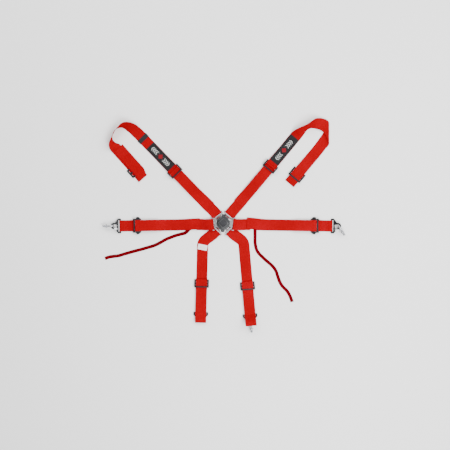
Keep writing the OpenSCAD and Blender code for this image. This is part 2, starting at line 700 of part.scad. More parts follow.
module hook_gate(belt_name, i) {
    color(STEEL) at_hook(belt_name, i) translate([gate_pivot[0], gate_pivot[1], 1.8])
        difference() {
            union() {
                cylinder(r = 3.2, h = 1.8);
                translate([gate_len, 0, 0]) cylinder(r = 3, h = 1.8);
                block([0, -3, 0], [gate_len, 3, 1.8]);
                block([gate_len - 1, -3, 0], [gate_len + 1.2, 0, 4]);
            }
            translate([0, 0, -1]) cylinder(r = 2 + run_fit, h = 5);
        }
}

module eyebolt(belt_name, i, turn) {
    reach = belt_name == "lap" ? lap_hook_at[i] : crotch_reach[i];
    tilt = belt_name == "lap" ? hook_tilt[i] : crotch_tilt[i];
    color(STEEL) {
        if (belt_name == "lap") lap_belt(i) bolt_at(reach, tilt, turn);
        else crotch_belt(i) bolt_at(reach, tilt, turn);
    }
}

module bolt_at(reach, tilt, turn) {
    translate([reach + throat_at * cos(tilt), 0, hang_z + throat_at * sin(tilt)])
        rotate(turn) translate([ring_r - 0.6, 0, 0]) {
            rotate([90, 0, 0]) rotate_extrude($fn = 72) translate([ring_r, 0])
                circle(r = rod_r, $fn = 36);
            rotate([0, 90, 0]) {
                translate([0, 0, ring_r + 2.6]) cylinder(r1 = 5.5, r2 = 9, h = 2.4, $fn = 64);
                translate([0, 0, ring_r + 5]) cylinder(r = 9, h = 2.4, $fn = 64);
                translate([0, 0, ring_r + 7.2]) cylinder(r = shank_r, h = 15.8, $fn = 64);
            }
        }
}

buckle_base();
buckle_cover();
cover_screws();
latch_spider();
knob_spring();
spindle();
cam_plate();
release_knob();
knob_badge();
tongue_shoulder(LEFT);  // tongue_shoulder_left
tongue_shoulder(RIGHT);  // tongue_shoulder_right
tongue_lap(LEFT);  // tongue_lap_left
tongue_lap(RIGHT);  // tongue_lap_right
tongue_crotch(LEFT);  // tongue_crotch_left
tongue_crotch(RIGHT);  // tongue_crotch_right
shoulder_lower(LEFT);  // shoulder_lower_left
shoulder_lower(RIGHT);  // shoulder_lower_right
shoulder_adjuster(LEFT);  // shoulder_adjuster_left
shoulder_adjuster(RIGHT);  // shoulder_adjuster_right
shoulder_bar(LEFT);  // shoulder_bar_left
shoulder_bar(RIGHT);  // shoulder_bar_right
shoulder_turn(LEFT);  // shoulder_turn_left
shoulder_turn(RIGHT);  // shoulder_turn_right
shoulder_upper(LEFT);  // shoulder_upper_left
shoulder_upper(RIGHT);  // shoulder_upper_right
shoulder_patch(LEFT);  // shoulder_patch_left
shoulder_patch(RIGHT);  // shoulder_patch_right
shoulder_slide(LEFT);  // shoulder_slide_left
shoulder_slide(RIGHT);  // shoulder_slide_right
shoulder_band_left();
lap_strap(LEFT);  // lap_strap_left
lap_strap(RIGHT);  // lap_strap_right
lap_tail(LEFT);  // lap_tail_left
lap_tail(RIGHT);  // lap_tail_right
lap_turn(LEFT);  // lap_turn_left
lap_turn(RIGHT);  // lap_turn_right
lap_adjuster(LEFT);  // lap_adjuster_left
lap_adjuster(RIGHT);  // lap_adjuster_right
lap_bar(LEFT);  // lap_bar_left
lap_bar(RIGHT);  // lap_bar_right
lap_anchor(LEFT);  // lap_anchor_left
lap_anchor(RIGHT);  // lap_anchor_right
lap_tape(tape_left);  // lap_tape_left
lap_tape(tape_right);  // lap_tape_right
crotch_strap(LEFT);  // crotch_strap_left
crotch_strap(RIGHT);  // crotch_strap_right
crotch_slide(LEFT);  // crotch_slide_left
crotch_slide(RIGHT);  // crotch_slide_right
crotch_label_left();
snap_hook("lap", LEFT);  // hook_lap_left
snap_hook("lap", RIGHT);  // hook_lap_right
snap_hook("crotch", LEFT);  // hook_crotch_left
snap_hook("crotch", RIGHT);  // hook_crotch_right
hook_gate("lap", LEFT);  // gate_lap_left
hook_gate("lap", RIGHT);  // gate_lap_right
hook_gate("crotch", LEFT);  // gate_crotch_left
hook_gate("crotch", RIGHT);  // gate_crotch_right
eyebolt("lap", LEFT, eyebolt_turn[0]);  // eyebolt_lap_left
eyebolt("lap", RIGHT, eyebolt_turn[1]);  // eyebolt_lap_right
eyebolt("crotch", RIGHT, eyebolt_turn[2]);  // eyebolt_crotch_right
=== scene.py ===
import math

import bmesh
import bpy
import numpy as np
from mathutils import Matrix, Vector


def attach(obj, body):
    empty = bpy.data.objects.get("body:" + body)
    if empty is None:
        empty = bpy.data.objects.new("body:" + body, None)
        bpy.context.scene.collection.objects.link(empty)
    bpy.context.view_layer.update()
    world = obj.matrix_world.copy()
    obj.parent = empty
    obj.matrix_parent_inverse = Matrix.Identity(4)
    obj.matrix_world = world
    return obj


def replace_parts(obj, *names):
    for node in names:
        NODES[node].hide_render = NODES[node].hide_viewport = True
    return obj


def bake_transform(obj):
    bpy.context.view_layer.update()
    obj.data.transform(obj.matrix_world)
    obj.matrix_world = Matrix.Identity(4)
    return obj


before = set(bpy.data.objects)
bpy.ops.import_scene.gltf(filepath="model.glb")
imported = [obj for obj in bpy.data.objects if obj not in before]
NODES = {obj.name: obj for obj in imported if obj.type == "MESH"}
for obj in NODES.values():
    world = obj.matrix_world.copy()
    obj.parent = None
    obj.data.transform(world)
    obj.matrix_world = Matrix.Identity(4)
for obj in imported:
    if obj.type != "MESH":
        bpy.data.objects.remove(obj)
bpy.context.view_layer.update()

SIDES = ("left", "right")

# ---------- measures, in millimetres, as in the CAD ----------
# A pair in brackets is the left belt's value, then the right one's. Left belts are worked out on the
# right side and mirrored. A distance along a belt starts PIVOT from the buckle's axis.

# width and thickness of the webbing and of the pull tapes
WEB, WEB_T, TAPE, TAPE_T = 50.0, 1.4, 15.0, 1.3
# from the buckle's axis to where each belt's distances start
PIVOT = 48.0
# headings of each belt at its tongue, further out, and below the bend of a crotch belt
SHOULDER_HEAD, SHOULDER_LAY = (52, 52), (46, 50)
LAP_HEAD, LAP_LAY = -6, -1
CROTCH_HEAD, CROTCH_LAY, CROTCH_FALL = -47, -40, (-88.5, -85)
# distances to the adjusters and to the lap hooks
SHOULDER_REACH, LAP_REACH, LAP_HOOK = (274, 286), (340, 364), (415, 439)
# the upper shoulder strap's free end, and both ends of its patch
TAIL_END, PATCH = (45, 62), ((292, 432), (307, 455))
# how far an upper layer lies to one side of the lower one at its free end
SHOULDER_ASIDE, LAP_ASIDE = (3, 3), (3, 7)
# a crotch belt's slide and hook, measured from the end of its bend, and the bend's start and radius
SLIDE_AT, CROTCH_REACH = (169, 183), (301, 313)
BEND_AT, BEND_R = 62, 36
# the doubled end of each shoulder belt: place, heading and length
END, END_HEAD, END_LEN = ((361, 201), (297.5, 178)), (-131.8, -130.1), (176, 180)
# heights of flat webbing, of the low tongues' slots, of the lap tongues' slots and of a hook's bar
FLOOR, LOW, BLADE, HANG = 0.8, 4.5, 12.5, 3.9
# how much higher the upper shoulder strap lies on the floor
RAISED = 0.2
# radius of the webbing's turn round a slot
LOOP = 3.1
# heights of the knurled bars and of the webbing that passes over them
KNURL, LAP_KNURL, PASS, LAP_PASS = 14.4, 7.6, 8.9, 14.3
# a hook's length from its bar to the throat, and its tilt
HOOK_LEN, HOOK_TILT = 32, 25.3
KNOB_TURN = math.radians(-4)
# two rows of stitches across a belt's end
HEM = [[(4, -22), (4, 22)], [(9, -22), (9, 22)]]
TAU = 6.2832
SHARP = math.radians(34)

# Routes. A row is x, y, lift, heading, roll and skew of the webbing, or a tape's x, y and z.
LOOP_LEFT = [
    (377, 397.5, 0, 46, 0, 0), (392, 411, 0, 43, 8, 0), (409, 425, 0, 36, 26, 0),
    (430, 434, 0, 18, 45, 0), (447, 436, 0, -5, 66, 0), (463, 431, 0, -28, 88, 0),
    (482, 418, 0, -42, 102, 0), (493, 400, 0, -60, 103, 0), (498, 378, 0, -84, 92, 0),
    (496, 361, 0, -101, 66, 0), (490, 347, 0, -120, 28, 0), (481, 335, 0, -131.8, 0, 0)]
LOOP_RIGHT = [
    (321.5, 387, 0, 50, 0, 0), (331, 397, 0, 49, 14, 0), (342, 406, 0, 46, 34, 0),
    (359, 419, 0, 38, 55, 0), (377, 431, 1, 28, 67, 0), (398, 441, 3, 13, 55, 0),
    (419, 446, 5, -4, 25, -0.1), (441, 443, 6.5, -26, 6, -0.5),
    (459, 430, 7, -46, 0, -1.1), (471.5, 412, 7, -58, 0, -1.6)]
LOOP_RIGHT_BACK = [
    (471.5, 394.4, 0, -122, 180, -1.6), (461, 378.5, 0, -124, 180, -1.2),
    (450, 363.5, 0, -126, 180, -0.7), (439.5, 349, 0, -127, 180, -0.3),
    (428.5, 334, 0, -128, 180, 0)]
FOLD_AT, FOLD_R, FOLD_PITCH = (471.5, 412), 3.5, 1.6
TAPES = (
    [(-140, -12, 2.8), (-150, -22, 2.8), (-160, -34, 2.7), (-172, -44, 2),
     (-190, -49, 1.2), (-212, -55, 1), (-234, -63, 1), (-256, -72, 1), (-274, -82, 1),
     (-292, -92, 1), (-315, -102, 1), (-339, -109, 1), (-370, -118, 1),
     (-397, -125, 1), (-422, -132, 1), (-447, -139, 1), (-470, -146, 1),
     (-492, -149, 1), (-508, -151, 1), (-522, -155, 1), (-532, -159, 1)],
    [(140, -12, 2.8), (142, -24, 2.8), (143, -36, 2.6), (143, -48, 1.6),
     (143, -60, 1), (143, -84, 1), (146, -105, 1), (152, -124, 1), (162, -138, 1),
     (174, -150, 1), (192, -167, 1), (212, -184, 1), (226, -198, 1), (237, -215, 1),
     (243, -232, 1), (248, -248, 1), (254, -263, 1), (262, -278, 1), (273, -291, 1),
     (286, -304, 1), (297, -321, 1), (304, -337, 1), (310, -354, 1)])


def heading(a):
    """The unit vector at an angle in degrees."""
    return np.array([math.cos(math.radians(a)), math.sin(math.radians(a))])


def ease(x):
    """A smooth step from 0 to 1."""
    x = min(1.0, max(0.0, x))
    return x * x * (3 - 2 * x)


def arc(c, r, a0, a1, n=16):
    t = np.radians(np.linspace(a0, a1, n + 1))
    return [(c[0] + r * math.cos(a), c[1] + r * math.sin(a)) for a in t]


def spline(rows, n):
    """A smooth path through every row, with n points to a stretch."""
    p = np.array(rows, float)
    m = len(p) - 1
    out = []
    for i in range(m):
        a, b, c, d = p[max(i - 1, 0)], p[i], p[i + 1], p[min(i + 2, m)]
        for t in np.arange(n) / n:
            out.append(0.5 * (2 * b + (c - a) * t + (2 * a - 5 * b + 4 * c - d) * t * t
                              + (3 * b - a - 3 * c + d) * t ** 3))
    return np.array(out + [p[m]])


# ---------- the camera, the floor and the light ----------

def setting():
    cam = bpy.data.objects.new("camera", bpy.data.cameras.new("camera"))
    cam.location = (0.0077, -0.0081, 3.2)
    cam.data.lens = 36 * 3.2 / 2.025
    cam.data.clip_end = 50
    bpy.context.scene.collection.objects.link(cam)
    bpy.context.scene.camera = cam
    for name, place, aim, size, power in (
            ("key", (0.8, -1.3, 2.6), (0, 0, 0), 1.6, 120),
            ("fill", (1.7, 1.0, 2.3), (0, 0, 0), 2.2, 85),
            ("back", (-0.9, 1.9, 2.2), (0, 0.1, 0), 1.6, 55)):
        lamp = bpy.data.objects.new(name, bpy.data.lights.new(name, "AREA"))
        lamp.data.size, lamp.data.energy = size, power
        lamp.location = place
        lamp.rotation_euler = (Vector(aim) - Vector(place)).to_track_quat("-Z", "Y").to_euler()
        bpy.context.scene.collection.objects.link(lamp)
    world = bpy.data.worlds.new("studio")
    bpy.context.scene.world = world
    world.use_nodes = True
    back = world.node_tree.nodes["Background"]
    back.inputs["Color"].default_value = (1, 1, 1, 1)
    back.inputs["Strength"].default_value = 0.7
    me = bpy.data.meshes.new("floor")
    s, z = 6, -0.0002
    me.from_pydata([(-s, -s, z), (s, -s, z), (s, s, z), (-s, s, z)], [], [(0, 1, 2, 3)])
    floor = bpy.data.objects.new("floor", me)
    bpy.context.scene.collection.objects.link(floor)
    m = Material("floor")
    m.set(Roughness=0.85, Base_Color=(0.9, 0.9, 0.9, 1))
    me.materials.append(m.mat)


# ---------- materials ----------

class Material:
    """A Principled material whose nodes are added by name."""

    def __init__(self, name):
        self.mat = bpy.data.materials.new(name)
        self.mat.use_nodes = True
        self.tree = self.mat.node_tree
        self.shader = self.tree.nodes["Principled BSDF"]

    def set(self, **values):
        for k, v in values.items():
            self.shader.inputs[k.replace("_", " ")].default_value = v
        return self

    def node(self, kind, **values):
        n = self.tree.nodes.new("ShaderNode" + kind)
        for k, v in values.items():
            if k in n.bl_rna.properties:
                setattr(n, k, v)
            else:
                self.plug(v, n.inputs[k.replace("_", " ")])
        return n

    def plug(self, value, socket):
        if isinstance(value, bpy.types.NodeSocket):
            self.tree.links.new(value, socket)
        else:
            socket.default_value = value

    def math(self, op, *values):
        n = self.tree.nodes.new("ShaderNodeMath")
        n.operation = op
        for v, s in zip(values, n.inputs):
            self.plug(v, s)
        return n.outputs[0]

    def wave(self, value, length):
        """A sine of a place in metres, with one wave to a length."""
        return self.math("SINE", self.math("MULTIPLY", value, TAU / length))

    def ramp(self, value, low, high, to_low=0.0, to_high=1.0):
        n = self.tree.nodes.new("ShaderNodeMapRange")
        for v, k in ((value, "Value"), (low, "From Min"), (high, "From Max"),
                     (to_low, "To Min"), (to_high, "To Max")):
            self.plug(v, n.inputs[k])
        return n.outputs[0]

    def mix(self, factor, a, b):
        n = self.tree.nodes.new("ShaderNodeMix")
        n.data_type = "RGBA"
        self.plug(factor, n.inputs[0])
        self.plug(a, n.inputs[6])
        self.plug(b, n.inputs[7])
        return n.outputs[2]

    def noise(self, scale, detail=3.0, vector=None):
        n = self.node("TexNoise")
        n.inputs["Scale"].default_value = scale
        n.inputs["Detail"].default_value = detail
        if vector is None:
            vector = self.tree.nodes.new("ShaderNodeTexCoord").outputs["Object"]
        self.plug(vector, n.inputs["Vector"])
        return n.outputs[0]

    def bump(self, height, strength, distance):
        n = self.tree.nodes.new("ShaderNodeBump")
        n.inputs["Strength"].default_value = strength
        n.inputs["Distance"].default_value = distance
        self.plug(height, n.inputs["Height"])
        self.plug(n.outputs[0], self.shader.inputs["Normal"])

    def weave_uv(self):
        uv = self.node("UVMap", uv_map="Weave")
        xy = self.tree.nodes.new("ShaderNodeSeparateXYZ")
        self.plug(uv.outputs[0], xy.inputs[0])
        return xy.outputs[0], xy.outputs[1]


def webbing(name, colour, dark, half, rib=0.0017, warp=0.0009, chevron=0.0125):
    """Woven belt: slanted ribs that turn at each warp stripe, a plain selvedge and soft wear."""
    m = Material(name)
    u, v = m.weave_uv()
    zig = m.math("PINGPONG", m.math("ADD", v, half), chevron / 2)
    rows = m.wave(m.math("ADD", u, m.math("MULTIPLY", zig, 0.8)), rib)
    ends = m.wave(v, warp)
    cloth = m.math("MULTIPLY_ADD", rows, 0.36, m.math("MULTIPLY_ADD", ends, 0.14, 0.5))
    rim = m.ramp(m.math("ABSOLUTE", v), half - 0.0026, half - 0.0020)
    plain = m.math("MULTIPLY_ADD", m.wave(u, rib * 0.8), 0.3, 0.55)
    body = m.math("MULTIPLY", cloth, m.math("SUBTRACT", 1.0, rim))
    height = m.math("ADD", body, m.math("MULTIPLY", plain, rim))
    wear = m.noise(9.0, 4.0)
    fuzz = m.noise(900.0, 2.0)
    tone = m.math("ADD", m.math("MULTIPLY", height, 0.62), m.math("MULTIPLY", wear, 0.42))
    m.plug(m.mix(m.ramp(tone, 0.18, 0.82), dark, colour), m.shader.inputs["Base Color"])
    m.plug(m.ramp(wear, 0.3, 0.7, 0.5, 0.68), m.shader.inputs["Roughness"])
    m.bump(m.math("ADD", height, m.math("MULTIPLY", fuzz, 0.35)), 0.55, 0.0003)
    m.set(Specular_IOR_Level=0.0)
    return m.mat


def metal(name, colour, rough, metallic=1.0, grain=0.08):
    """Plated or painted steel, or plain dark cloth and thread, with a fine uneven finish."""
    m = Material(name)
    cloud = m.noise(35.0, 4.0)
    fine = m.noise(260.0, 3.0)
    shade = [c * 0.86 for c in colour[:3]] + [1]
    m.plug(m.mix(m.ramp(cloud, 0.3, 0.72), shade, colour), m.shader.inputs["Base Color"])
    both = m.math("ADD", m.math("MULTIPLY", cloud, 0.6), m.math("MULTIPLY", fine, 0.4))
    m.plug(m.ramp(both, 0.3, 0.7, rough - grain, rough + grain), m.shader.inputs["Roughness"])
    m.bump(fine, 0.12, 0.00006)
    m.set(Metallic=metallic, Specular_IOR_Level=0.5 if metallic > 0.5 else 0.16)
    return m.mat


def knurled(name):
    """Bright steel with a diamond knurl of 1.3 mm, whatever way the bar lies."""
    m = Material(name)
    u, v = m.weave_uv()
    a = m.wave(m.math("ADD", u, v), 0.0013)
    b = m.wave(m.math("SUBTRACT", u, v), 0.0013)
    h = m.math("MULTIPLY", a, b)
    m.plug(m.ramp(h, -1.0, 1.0, 0.2, 0.42), m.shader.inputs["Roughness"])
    steel = m.mix(m.ramp(h, -0.8, 0.6), (0.2, 0.2, 0.21, 1), (0.62, 0.63, 0.64, 1))
    m.plug(steel, m.shader.inputs["Base Color"])
    m.bump(h, 0.7, 0.0003)
    m.set(Metallic=1.0)
    return m.mat


def knob_material():
    """Black anodising with machined diamond lines, cut bright."""
    m = Material("knob")
    place = m.tree.nodes.new("ShaderNodeTexCoord")
    xyz = m.tree.nodes.new("ShaderNodeSeparateXYZ")
    m.plug(place.outputs["Object"], xyz.inputs[0])
    z = xyz.outputs[2]
    c, s = math.cos(KNOB_TURN), math.sin(KNOB_TURN)
    x, y = (m.math("ADD", m.math("MULTIPLY", xyz.outputs[0], p), m.math("MULTIPLY", xyz.outputs[1], q))
            for p, q in ((c, s), (-s, c)))
    d = m.math("ADD", m.math("ABSOLUTE", x), m.math("ABSOLUTE", y))
    line = m.math("LESS_THAN", m.math("ABSOLUTE", m.math("SUBTRACT", d, 0.0225)), 0.0007)
    outer = m.math("LESS_THAN", m.math("ABSOLUTE", m.math("SUBTRACT", d, 0.0335)), 0.0005)
    lines = m.math("MAXIMUM", line, m.math("MULTIPLY", outer, 0.6))
    cut = m.math("MULTIPLY", lines, m.math("GREATER_THAN", z, 0.0245))
    fine = m.noise(420.0, 3.0)
    black = m.mix(fine, (0.008, 0.008, 0.009, 1), (0.022, 0.022, 0.024, 1))
    m.plug(m.mix(cut, black, (0.2, 0.205, 0.21, 1)), m.shader.inputs["Base Color"])
    m.plug(m.ramp(fine, 0.3, 0.7, 0.27, 0.4), m.shader.inputs["Roughness"])
    m.plug(m.math("MULTIPLY", cut, 0.9), m.shader.inputs["Metallic"])
    m.bump(m.math("SUBTRACT", m.math("MULTIPLY", fine, 0.1), cut), 0.5, 0.00015)
    m.set(Specular_IOR_Level=0.2)
    return m.mat


def patch_material():
    """Black woven patch: pale slanted bars on each side of a red lozenge, and a stitched rim."""
    m = Material("patch")
    u, v = m.weave_uv()
    mid = m.math("SUBTRACT", u, 0.072)
    away = m.math("ABSOLUTE", mid)
    lozenge = m.math("LESS_THAN", m.math("ADD", away, m.math("ABSOLUTE", v)), 0.0125)
    slant = m.math("ADD", away, m.math("MULTIPLY", m.math("ABSOLUTE", v), 0.7))
    bar = m.math("LESS_THAN", m.math("PINGPONG", slant, 0.0045), 0.0017)
    row = m.math("LESS_THAN", m.math("ABSOLUTE", v), 0.0095)
    span = m.math("MULTIPLY", m.math("GREATER_THAN", slant, 0.0195), m.math("LESS_THAN", away, 0.0545))
    bars = m.math("MULTIPLY", m.math("MULTIPLY", bar, row), span)
    threads = m.wave(v, 0.0008)
    rows = m.wave(u, 0.0008)
    cloth = m.math("MULTIPLY_ADD", m.math("MULTIPLY", threads, rows), 0.5, 0.5)
    dark = m.mix(cloth, (0.006, 0.006, 0.007, 1), (0.022, 0.021, 0.022, 1))
    light = m.mix(cloth, (0.3, 0.31, 0.3, 1), (0.62, 0.63, 0.61, 1))
    red = m.mix(cloth, (0.1, 0.004, 0.008, 1), (0.24, 0.008, 0.014, 1))
    m.plug(m.mix(bars, m.mix(lozenge, dark, red), light), m.shader.inputs["Base Color"])
    raised = m.math("MULTIPLY", m.math("MAXIMUM", bars, lozenge), 1.5)
    m.bump(m.math("ADD", cloth, raised), 0.4, 0.0002)
    m.plug(m.ramp(cloth, 0.0, 1.0, 0.85, 0.7), m.shader.inputs["Roughness"])
    m.set(Specular_IOR_Level=0.08)
    return m.mat


def label_material():
    """White cloth label with faint grey bands."""
    m = Material("label")
    u, v = m.weave_uv()
    cloth = m.math("MULTIPLY_ADD", m.wave(v, 0.0007), 0.5, 0.5)
    inside = m.math("LESS_THAN", m.math("ABSOLUTE", v), 0.013)
    away = m.math("ABSOLUTE", m.math("SUBTRACT", u, 0.013))
    stripe = m.math("LESS_THAN", m.math("ABSOLUTE", m.math("SUBTRACT", away, 0.0028)), 0.0010)
    band = m.math("MULTIPLY", inside, stripe)
    white = m.mix(cloth, (0.7, 0.69, 0.67, 1), (0.86, 0.85, 0.83, 1))
    grey = m.mix(m.math("MULTIPLY", band, 0.55), white, (0.42, 0.42, 0.43, 1))
    m.plug(grey, m.shader.inputs["Base Color"])
    m.plug(m.ramp(cloth, 0.0, 1.0, 0.82, 0.66), m.shader.inputs["Roughness"])
    m.bump(cloth, 0.3, 0.0001)
    m.set(Specular_IOR_Level=0.1)
    return m.mat


setting()
RED = webbing("red webbing", (0.36, 0.0002, 0.006, 1), (0.15, 0.0001, 0.002, 1), half=0.025)
MAROON = webbing("maroon tape", (0.15, 0.0012, 0.006, 1), (0.055, 0.0004, 0.002, 1), half=0.0075,
                 rib=0.0014, warp=0.0008, chevron=0.0075)
BLACK = metal("black plating", (0.016, 0.016, 0.018, 1), 0.34, 0.35, 0.09)
HOUSING = metal("buckle paint", (0.012, 0.012, 0.013, 1), 0.42, 0.2, 0.08)
STEEL = metal("bright plating", (0.5, 0.51, 0.53, 1), 0.24, 1.0, 0.08)
SPRING = metal("spring steel", (0.5, 0.5, 0.51, 1), 0.3)
BADGE = metal("badge", (0.045, 0.045, 0.05, 1), 0.3, 0.7)
KEEPER = metal("keeper", (0.014, 0.013, 0.014, 1), 0.62, 0.0, 0.1)
THREAD = metal("thread", (0.36, 0.004, 0.01, 1), 0.72, 0.0, 0.1)
KNURLED = knurled("knurl")
KNOB = knob_material()
PATCHED = patch_material()
LABEL = label_material()


# ---------- webbing ----------

class Ribbon:
    """Webbing along stations of a centre and a width, with the length kept as u."""

    def __init__(self, centres, widths, side=1, half=WEB / 2):
        self.half = half
        flip = np.array([1 if side else -1, 1, 1], float)
        self.c = np.array(centres, float) * flip
        self.w = np.array(widths, float) * flip
        t = np.gradient(self.c, axis=0)
        t /= np.linalg.norm(t, axis=1)[:, None]
        n = np.cross(t, self.w)
        self.n = n / np.linalg.norm(n, axis=1)[:, None] * (1 if side else -1)
        step = np.linalg.norm(np.diff(self.c, axis=0), axis=1)
        self.u = np.concatenate([[0], np.cumsum(step)])

    def at(self, u, v, lift):
        f = [np.interp(u, self.u, q[:, k]) for q in (self.c, self.w, self.n) for k in range(3)]
        return np.array(f[:3]) + np.array(f[3:6]) * v + np.array(f[6:]) * lift

    def near(self, point):
        """The length at which the webbing passes closest to a point."""
        return self.u[np.argmin(np.linalg.norm(self.c - np.array(point), axis=1))]

    def mesh(self, name, thick=WEB_T, material=None, ripple=None):
        """ripple(u, v) lifts the webbing off its path by that many millimetres."""
        h, t = self.half, thick / 2
        vs = [-h, -h + 0.5, -h + 1.8, -h * 0.62, -h * 0.3, 0,
              h * 0.3, h * 0.62, h - 1.8, h - 0.5, h]
        ts = [t * 0.25, t * 0.8, t, t, t, t, t, t, t, t * 0.8, t * 0.25]
        ring = list(zip(vs, ts)) + [(v, -q) for v, q in reversed(list(zip(vs, ts)))]
        verts, uvs, faces = [], [], []
        m = len(ring)
        for i in range(len(self.u)):
            for v, q in ring:
                up = q + (ripple(self.u[i], v) if ripple else 0)
                verts.append((self.c[i] + self.w[i] * v + self.n[i] * up) * 0.001)
                uvs.append((self.u[i] * 0.001, v * 0.001))
        for i in range(len(self.u) - 1):
            for k in range(m):
                a, b = i * m + k, i * m + (k + 1) % m
                faces.append((a, b, b + m, a + m))
        last = (len(self.u) - 1) * m
        faces += [tuple(range(m - 1, -1, -1)), tuple(range(last, last + m))]
        return build(name, verts, faces, uvs, material, True)


def build(name, verts, faces, uvs=None, material=None, smooth=True):
    me = bpy.data.meshes.new(name)
    me.from_pydata([tuple(v) for v in verts], [], faces)
    if uvs is not None:
        layer = me.uv_layers.new(name="Weave")
        for loop in me.loops:
            layer.data[loop.index].uv = uvs[loop.vertex_index]
    bm = bmesh.new()
    bm.from_mesh(me)
    bmesh.ops.recalc_face_normals(bm, faces=bm.faces)
    bm.to_mesh(me)
    bm.free()
    if material:
        me.materials.append(material)
    ob = bpy.data.objects.new(name, me)
    bpy.context.scene.collection.objects.link(ob)
    if smooth:
        me.shade_smooth()
        me.set_sharp_from_angle(angle=math.radians(50))
    return ob


def dense(path, step=2.0, sigma=1.1):
    """A side view's path, resampled and with its corners softened."""
    p = np.array(path, float)
    d = np.concatenate([[0], np.cumsum(np.linalg.norm(np.diff(p, axis=0), axis=1))])
    fine = np.linspace(0, d[-1], int(d[-1] / 0.4) + 2)
    q = np.stack([np.interp(fine, d, p[:, k]) for k in range(2)], 1)
    gap = fine[1] - fine[0]
    r = int(3 * sigma / gap)
    kernel = np.exp(-0.5 * (np.arange(-r, r + 1) * gap / sigma) ** 2)
    kernel /= kernel.sum()
    pad = np.concatenate([2 * q[0] - q[r:0:-1], q, 2 * q[-1] - q[-2:-r - 2:-1]])
    q = np.stack([np.convolve(pad[:, k], kernel, "valid") for k in range(2)], 1)
    turn = np.linalg.norm(np.gradient(np.gradient(q, axis=0), axis=0), axis=1) / gap ** 2
    keep, run = [0], 0.0
    for i in range(1, len(q)):
        run += gap * (1 + 60 * turn[i])
        if run >= step * 3 or i == len(q) - 1:
            keep.append(i)
            run = 0.0
    return q[keep]


def lifted(path, start, a0, a1, sigma=1.1, aside=0):
    """Stations of a belt from its side view, while its heading turns from a0 to a1."""
    cs, ws = [], []
    for u, z in dense(path, sigma=sigma):
        s = ease((u - 6) / 50)
        x, y = (np.array(start) + u * ((1 - s) * heading(a0) + s * heading(a1))
                + aside * (1 - ease((u - 60) / 90)) * heading(a1 + 90))
        a = math.radians(a0 + (a1 - a0) * s)
        cs.append((x, y, z))
        ws.append((-math.sin(a), math.cos(a), 0))
    return cs, ws


def routed(rows, n):
    """Stations of a belt that twists, from rows of a route."""
    cs, ws = [], []
    for x, y, lift, a, roll, skew in spline(rows, n):
        a, roll = math.radians(a), math.radians(roll)
        cs.append((x, y, FLOOR + RAISED + lift + WEB / 2 * abs(math.sin(roll))))
        ws.append((-math.sin(a) * math.cos(roll) + skew * math.cos(a),
                   math.cos(a) * math.cos(roll) + skew * math.sin(a), math.sin(roll)))
    return cs, ws


def fold():
    """Stations of the right belt where it folds back over itself."""
    cs, ws = [], []
    for a in np.arange(10, 180, 10):
        t = math.radians(a)
        cs.append((FOLD_AT[0] + FOLD_R * math.sin(t), FOLD_AT[1] - FOLD_PITCH * FOLD_R * t,
                   FLOOR + RAISED + FOLD_R * (1 + math.cos(t))))
        ws.append((0, math.hypot(1, FOLD_PITCH), 0))
    return cs, ws


def joined(*parts):
    return sum((list(p[0]) for p in parts), []), sum((list(p[1]) for p in parts), [])


LAP0 = PIVOT * heading(LAP_HEAD)
CROTCH0 = PIVOT * heading(CROTCH_HEAD)
BEND_MID = CROTCH0 + BEND_AT * heading(CROTCH_LAY) + BEND_R * heading(CROTCH_LAY - 90)


def bend_end(i):
    """Where a crotch belt leaves its bend."""
    return BEND_MID + BEND_R * heading(CROTCH_FALL[i] + 90)


def low_loop(under):
    """The side view of webbing that turns round a low tongue's slot, from under the belt."""
    return ([(under, FLOOR), (20, 0.9), (8, 1.2), (2, LOW - LOOP)] + arc((-1, LOW), LOOP, 270, 90)
            + [(2, LOW + LOOP), (8, 7.2), (14, 6), (20, 4.6), (26, 3.4), (32, 2.7), (40, 2.4)])


def lay(i, start, a, u, v=0.0, z=0.0):
    """A point on a belt, in metres in the row frame, from its distances in millimetres."""
    x, y = np.array(start) + u * heading(a) + v * heading(a + 90)
    return Vector(((x if i else -x) * 0.001, y * 0.001, z * 0.001))


# ---------- stitching ----------

def stitches(name, ribbon, lines, body, lift=WEB_T / 2, stitch=2.6, gap=1.1, r=0.28, material=None):
    """Thread along lines of (u, v) on the webbing's upper face, one short bead a stitch."""
    verts, faces = [], []
    for line in lines:
        line = np.array(line, float)
        for a, b in zip(line[:-1], line[1:]):
            long = np.linalg.norm(b - a)
            count = max(1, int(long / (stitch + gap)))
            for k in range(count):
                p = a + (b - a) * (k / count)
                q = a + (b - a) * ((k + stitch / (stitch + gap)) / count)
                side = np.array([-(b - a)[1], (b - a)[0]]) / long
                base = len(verts)
                for f, w, h in ((0, 0.3, 0), (0.25, 1, 0.8), (0.5, 1, 1), (0.75, 1, 0.8), (1, 0.3, 0)):
                    m = p + (q - p) * f
                    for sv, sh in ((1, -0.4), (0.7, 0.6), (-0.7, 0.6), (-1, -0.4)):
                        uv = m + side * sv * r * w
                        verts.append(ribbon.at(uv[0], uv[1], lift + (sh * w + h * 0.35) * r) * 0.001)
                for j in range(4):
                    for c in range(4):
                        s, t = base + j * 4 + c, base + j * 4 + (c + 1) % 4
                        faces.append((s, t, t + 4, s + 4))
                faces.append((base + 3, base + 2, base + 1, base))
                faces.append((base + 16, base + 17, base + 18, base + 19))
    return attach(build(name, verts, faces, None, material or THREAD), body)


def box_w(u0, u1, half=21.0):
    """A sewn box with a zigzag in it."""
    n = 4
    zig = [(u0 + (u1 - u0) * (k % 2), -half + 2 * half * k / n) for k in range(n + 1)]
    return [[(u0, -half), (u1, -half), (u1, half), (u0, half), (u0, -half)], zig]


# ---------- hardware: the CAD's solids with their edges broken ----------

